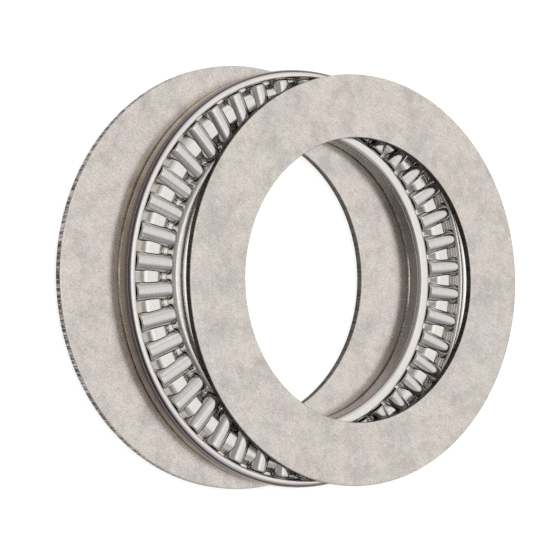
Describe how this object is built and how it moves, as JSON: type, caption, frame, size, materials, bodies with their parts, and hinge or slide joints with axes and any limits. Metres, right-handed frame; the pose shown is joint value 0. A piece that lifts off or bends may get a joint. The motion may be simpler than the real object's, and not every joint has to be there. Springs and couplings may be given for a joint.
{
  "type": "thrust needle roller bearing",
  "caption": "Axial needle roller bearing: caged radial rollers between two flat ring washers, the three rings laid fanned sideways on each other.",
  "frame": {"origin": "on the supporting surface, straight below the axis of the cage, which is the middle of the fanned layout", "axes": "+Z along the three rings' parallel axes, from the rear washer up to the front washer; +Y is the way each ring is slid from the one below; the cage and the washers are centred on X = 0"},
  "size_m": [0.065, 0.0844, 0.0055],
  "materials": {
    "washer_steel": "tumbled and ground, satin, faintly mottled",
    "cage_steel": "pressed sheet, semi-bright",
    "roller_steel": "fine ground, bright"
  },
  "bodies": {
    "rear_washer": {"rear_washer": "washer_steel"},
    "cage": {"cage": "cage_steel"},
    "front_washer": {"front_washer": "washer_steel"},
    "roller_01": {"roller_01": "roller_steel"},
    "roller_02": {"roller_02": "roller_steel"},
    "roller_03": {"roller_03": "roller_steel"},
    "roller_04": {"roller_04": "roller_steel"},
    "roller_05": {"roller_05": "roller_steel"},
    "roller_06": {"roller_06": "roller_steel"},
    "roller_07": {"roller_07": "roller_steel"},
    "roller_08": {"roller_08": "roller_steel"},
    "roller_09": {"roller_09": "roller_steel"},
    "roller_10": {"roller_10": "roller_steel"},
    "roller_11": {"roller_11": "roller_steel"},
    "roller_12": {"roller_12": "roller_steel"},
    "roller_13": {"roller_13": "roller_steel"},
    "roller_14": {"roller_14": "roller_steel"},
    "roller_15": {"roller_15": "roller_steel"},
    "roller_16": {"roller_16": "roller_steel"},
    "roller_17": {"roller_17": "roller_steel"},
    "roller_18": {"roller_18": "roller_steel"},
    "roller_19": {"roller_19": "roller_steel"},
    "roller_20": {"roller_20": "roller_steel"},
    "roller_21": {"roller_21": "roller_steel"},
    "roller_22": {"roller_22": "roller_steel"},
    "roller_23": {"roller_23": "roller_steel"},
    "roller_24": {"roller_24": "roller_steel"},
    "roller_25": {"roller_25": "roller_steel"},
    "roller_26": {"roller_26": "roller_steel"},
    "roller_27": {"roller_27": "roller_steel"},
    "roller_28": {"roller_28": "roller_steel"},
    "roller_29": {"roller_29": "roller_steel"},
    "roller_30": {"roller_30": "roller_steel"},
    "roller_31": {"roller_31": "roller_steel"},
    "roller_32": {"roller_32": "roller_steel"},
    "roller_33": {"roller_33": "roller_steel"},
    "roller_34": {"roller_34": "roller_steel"},
    "roller_35": {"roller_35": "roller_steel"},
    "roller_36": {"roller_36": "roller_steel"},
    "roller_37": {"roller_37": "roller_steel"},
    "roller_38": {"roller_38": "roller_steel"},
    "roller_39": {"roller_39": "roller_steel"},
    "roller_40": {"roller_40": "roller_steel"},
    "roller_41": {"roller_41": "roller_steel"},
    "roller_42": {"roller_42": "roller_steel"}
  },
  "joints": [
    {"name": "front_washer_spin", "type": "hinge", "parent": "rear_washer", "child": "front_washer", "pos_m": [0, 0.00975, 0.0049], "axis": [0, 0, 1], "continuous": true},
    {"name": "cage_spin", "type": "hinge", "parent": "rear_washer", "child": "cage", "pos_m": [0, 0, 0.00275], "axis": [0, 0, 1], "continuous": true},
    {"name": "roller_01_spin", "type": "hinge", "parent": "cage", "child": "roller_01", "pos_m": [0.02795, 0.00044, 0.00275], "axis": [0.9999, 0.0157, 0], "continuous": true},
    {"name": "roller_02_spin", "type": "hinge", "parent": "cage", "child": "roller_02", "pos_m": [0.02757, 0.0046, 0.00275], "axis": [0.9864, 0.1646, 0], "continuous": true},
    {"name": "roller_03_spin", "type": "hinge", "parent": "cage", "child": "roller_03", "pos_m": [0.02658, 0.00866, 0.00275], "axis": [0.9508, 0.3097, 0], "continuous": true},
    {"name": "roller_04_spin", "type": "hinge", "parent": "cage", "child": "roller_04", "pos_m": [0.02499, 0.01252, 0.00275], "axis": [0.894, 0.448, 0], "continuous": true},
    {"name": "roller_05_spin", "type": "hinge", "parent": "cage", "child": "roller_05", "pos_m": [0.02284, 0.01611, 0.00275], "axis": [0.8173, 0.5762, 0], "continuous": true},
    {"name": "roller_06_spin", "type": "hinge", "parent": "cage", "child": "roller_06", "pos_m": [0.02019, 0.01933, 0.00275], "axis": [0.7223, 0.6916, 0], "continuous": true},
    {"name": "roller_07_spin", "type": "hinge", "parent": "cage", "child": "roller_07", "pos_m": [0.01708, 0.02212, 0.00275], "axis": [0.6111, 0.7915, 0], "continuous": true},
    {"name": "roller_08_spin", "type": "hinge", "parent": "cage", "child": "roller_08", "pos_m": [0.01359, 0.02442, 0.00275], "axis": [0.4863, 0.8738, 0], "continuous": true},
    {"name": "roller_09_spin", "type": "hinge", "parent": "cage", "child": "roller_09", "pos_m": [0.0098, 0.02618, 0.00275], "axis": [0.3507, 0.9365, 0], "continuous": true},
    {"name": "roller_10_spin", "type": "hinge", "parent": "cage", "child": "roller_10", "pos_m": [0.00579, 0.02734, 0.00275], "axis": [0.2072, 0.9783, 0], "continuous": true},
    {"name": "roller_11_spin", "type": "hinge", "parent": "cage", "child": "roller_11", "pos_m": [0.00165, 0.0279, 0.00275], "axis": [0.0591, 0.9983, 0], "continuous": true},
    {"name": "roller_12_spin", "type": "hinge", "parent": "cage", "child": "roller_12", "pos_m": [-0.00253, 0.02784, 0.00275], "axis": [-0.0904, 0.9959, 0], "continuous": true},
    {"name": "roller_13_spin", "type": "hinge", "parent": "cage", "child": "roller_13", "pos_m": [-0.00665, 0.02715, 0.00275], "axis": [-0.2378, 0.9713, 0], "continuous": true},
    {"name": "roller_14_spin", "type": "hinge", "parent": "cage", "child": "roller_14", "pos_m": [-0.01062, 0.02585, 0.00275], "axis": [-0.3799, 0.925, 0], "continuous": true},
    {"name": "roller_15_spin", "type": "hinge", "parent": "cage", "child": "roller_15", "pos_m": [-0.01435, 0.02398, 0.00275], "axis": [-0.5135, 0.8581, 0], "continuous": true},
    {"name": "roller_16_spin", "type": "hinge", "parent": "cage", "child": "roller_16", "pos_m": [-0.01777, 0.02158, 0.00275], "axis": [-0.6357, 0.7719, 0], "continuous": true},
    {"name": "roller_17_spin", "type": "hinge", "parent": "cage", "child": "roller_17", "pos_m": [-0.02078, 0.01869, 0.00275], "axis": [-0.7436, 0.6686, 0], "continuous": true},
    {"name": "roller_18_spin", "type": "hinge", "parent": "cage", "child": "roller_18", "pos_m": [-0.02334, 0.01538, 0.00275], "axis": [-0.835, 0.5503, 0], "continuous": true},
    {"name": "roller_19_spin", "type": "hinge", "parent": "cage", "child": "roller_19", "pos_m": [-0.02537, 0.01173, 0.00275], "axis": [-0.9077, 0.4197, 0], "continuous": true},
    {"name": "roller_20_spin", "type": "hinge", "parent": "cage", "child": "roller_20", "pos_m": [-0.02683, 0.00782, 0.00275], "axis": [-0.9601, 0.2797, 0], "continuous": true},
    {"name": "roller_21_spin", "type": "hinge", "parent": "cage", "child": "roller_21", "pos_m": [-0.0277, 0.00373, 0.00275], "axis": [-0.991, 0.1335, 0], "continuous": true},
    {"name": "roller_22_spin", "type": "hinge", "parent": "cage", "child": "roller_22", "pos_m": [-0.02795, -0.00044, 0.00275], "axis": [-0.9999, -0.0157, 0], "continuous": true},
    {"name": "roller_23_spin", "type": "hinge", "parent": "cage", "child": "roller_23", "pos_m": [-0.02757, -0.0046, 0.00275], "axis": [-0.9864, -0.1646, 0], "continuous": true},
    {"name": "roller_24_spin", "type": "hinge", "parent": "cage", "child": "roller_24", "pos_m": [-0.02658, -0.00866, 0.00275], "axis": [-0.9508, -0.3097, 0], "continuous": true},
    {"name": "roller_25_spin", "type": "hinge", "parent": "cage", "child": "roller_25", "pos_m": [-0.02499, -0.01252, 0.00275], "axis": [-0.894, -0.448, 0], "continuous": true},
    {"name": "roller_26_spin", "type": "hinge", "parent": "cage", "child": "roller_26", "pos_m": [-0.02284, -0.01611, 0.00275], "axis": [-0.8173, -0.5762, 0], "continuous": true},
    {"name": "roller_27_spin", "type": "hinge", "parent": "cage", "child": "roller_27", "pos_m": [-0.02019, -0.01933, 0.00275], "axis": [-0.7223, -0.6916, 0], "continuous": true},
    {"name": "roller_28_spin", "type": "hinge", "parent": "cage", "child": "roller_28", "pos_m": [-0.01708, -0.02212, 0.00275], "axis": [-0.6111, -0.7915, 0], "continuous": true},
    {"name": "roller_29_spin", "type": "hinge", "parent": "cage", "child": "roller_29", "pos_m": [-0.01359, -0.02442, 0.00275], "axis": [-0.4863, -0.8738, 0], "continuous": true},
    {"name": "roller_30_spin", "type": "hinge", "parent": "cage", "child": "roller_30", "pos_m": [-0.0098, -0.02618, 0.00275], "axis": [-0.3507, -0.9365, 0], "continuous": true},
    {"name": "roller_31_spin", "type": "hinge", "parent": "cage", "child": "roller_31", "pos_m": [-0.00579, -0.02734, 0.00275], "axis": [-0.2072, -0.9783, 0], "continuous": true},
    {"name": "roller_32_spin", "type": "hinge", "parent": "cage", "child": "roller_32", "pos_m": [-0.00165, -0.0279, 0.00275], "axis": [-0.0591, -0.9983, 0], "continuous": true},
    {"name": "roller_33_spin", "type": "hinge", "parent": "cage", "child": "roller_33", "pos_m": [0.00253, -0.02784, 0.00275], "axis": [0.0904, -0.9959, 0], "continuous": true},
    {"name": "roller_34_spin", "type": "hinge", "parent": "cage", "child": "roller_34", "pos_m": [0.00665, -0.02715, 0.00275], "axis": [0.2378, -0.9713, 0], "continuous": true},
    {"name": "roller_35_spin", "type": "hinge", "parent": "cage", "child": "roller_35", "pos_m": [0.01062, -0.02585, 0.00275], "axis": [0.3799, -0.925, 0], "continuous": true},
    {"name": "roller_36_spin", "type": "hinge", "parent": "cage", "child": "roller_36", "pos_m": [0.01435, -0.02398, 0.00275], "axis": [0.5135, -0.8581, 0], "continuous": true},
    {"name": "roller_37_spin", "type": "hinge", "parent": "cage", "child": "roller_37", "pos_m": [0.01777, -0.02158, 0.00275], "axis": [0.6357, -0.7719, 0], "continuous": true},
    {"name": "roller_38_spin", "type": "hinge", "parent": "cage", "child": "roller_38", "pos_m": [0.02078, -0.01869, 0.00275], "axis": [0.7436, -0.6686, 0], "continuous": true},
    {"name": "roller_39_spin", "type": "hinge", "parent": "cage", "child": "roller_39", "pos_m": [0.02334, -0.01538, 0.00275], "axis": [0.835, -0.5503, 0], "continuous": true},
    {"name": "roller_40_spin", "type": "hinge", "parent": "cage", "child": "roller_40", "pos_m": [0.02537, -0.01173, 0.00275], "axis": [0.9077, -0.4197, 0], "continuous": true},
    {"name": "roller_41_spin", "type": "hinge", "parent": "cage", "child": "roller_41", "pos_m": [0.02683, -0.00782, 0.00275], "axis": [0.9601, -0.2797, 0], "continuous": true},
    {"name": "roller_42_spin", "type": "hinge", "parent": "cage", "child": "roller_42", "pos_m": [0.0277, -0.00373, 0.00275], "axis": [0.991, -0.1335, 0], "continuous": true}
  ],
  "couplings": [
    {"joint": "cage_spin", "follows": "front_washer_spin", "ratio": 0.5},
    {"joint": "roller_01_spin", "follows": "front_washer_spin", "ratio": -9.3167},
    {"joint": "roller_02_spin", "follows": "front_washer_spin", "ratio": -9.3167},
    {"joint": "roller_03_spin", "follows": "front_washer_spin", "ratio": -9.3167},
    {"joint": "roller_04_spin", "follows": "front_washer_spin", "ratio": -9.3167},
    {"joint": "roller_05_spin", "follows": "front_washer_spin", "ratio": -9.3167},
    {"joint": "roller_06_spin", "follows": "front_washer_spin", "ratio": -9.3167},
    {"joint": "roller_07_spin", "follows": "front_washer_spin", "ratio": -9.3167},
    {"joint": "roller_08_spin", "follows": "front_washer_spin", "ratio": -9.3167},
    {"joint": "roller_09_spin", "follows": "front_washer_spin", "ratio": -9.3167},
    {"joint": "roller_10_spin", "follows": "front_washer_spin", "ratio": -9.3167},
    {"joint": "roller_11_spin", "follows": "front_washer_spin", "ratio": -9.3167},
    {"joint": "roller_12_spin", "follows": "front_washer_spin", "ratio": -9.3167},
    {"joint": "roller_13_spin", "follows": "front_washer_spin", "ratio": -9.3167},
    {"joint": "roller_14_spin", "follows": "front_washer_spin", "ratio": -9.3167},
    {"joint": "roller_15_spin", "follows": "front_washer_spin", "ratio": -9.3167},
    {"joint": "roller_16_spin", "follows": "front_washer_spin", "ratio": -9.3167},
    {"joint": "roller_17_spin", "follows": "front_washer_spin", "ratio": -9.3167},
    {"joint": "roller_18_spin", "follows": "front_washer_spin", "ratio": -9.3167},
    {"joint": "roller_19_spin", "follows": "front_washer_spin", "ratio": -9.3167},
    {"joint": "roller_20_spin", "follows": "front_washer_spin", "ratio": -9.3167},
    {"joint": "roller_21_spin", "follows": "front_washer_spin", "ratio": -9.3167},
    {"joint": "roller_22_spin", "follows": "front_washer_spin", "ratio": -9.3167},
    {"joint": "roller_23_spin", "follows": "front_washer_spin", "ratio": -9.3167},
    {"joint": "roller_24_spin", "follows": "front_washer_spin", "ratio": -9.3167},
    {"joint": "roller_25_spin", "follows": "front_washer_spin", "ratio": -9.3167},
    {"joint": "roller_26_spin", "follows": "front_washer_spin", "ratio": -9.3167},
    {"joint": "roller_27_spin", "follows": "front_washer_spin", "ratio": -9.3167},
    {"joint": "roller_28_spin", "follows": "front_washer_spin", "ratio": -9.3167},
    {"joint": "roller_29_spin", "follows": "front_washer_spin", "ratio": -9.3167},
    {"joint": "roller_30_spin", "follows": "front_washer_spin", "ratio": -9.3167},
    {"joint": "roller_31_spin", "follows": "front_washer_spin", "ratio": -9.3167},
    {"joint": "roller_32_spin", "follows": "front_washer_spin", "ratio": -9.3167},
    {"joint": "roller_33_spin", "follows": "front_washer_spin", "ratio": -9.3167},
    {"joint": "roller_34_spin", "follows": "front_washer_spin", "ratio": -9.3167},
    {"joint": "roller_35_spin", "follows": "front_washer_spin", "ratio": -9.3167},
    {"joint": "roller_36_spin", "follows": "front_washer_spin", "ratio": -9.3167},
    {"joint": "roller_37_spin", "follows": "front_washer_spin", "ratio": -9.3167},
    {"joint": "roller_38_spin", "follows": "front_washer_spin", "ratio": -9.3167},
    {"joint": "roller_39_spin", "follows": "front_washer_spin", "ratio": -9.3167},
    {"joint": "roller_40_spin", "follows": "front_washer_spin", "ratio": -9.3167},
    {"joint": "roller_41_spin", "follows": "front_washer_spin", "ratio": -9.3167},
    {"joint": "roller_42_spin", "follows": "front_washer_spin", "ratio": -9.3167}
  ]
}
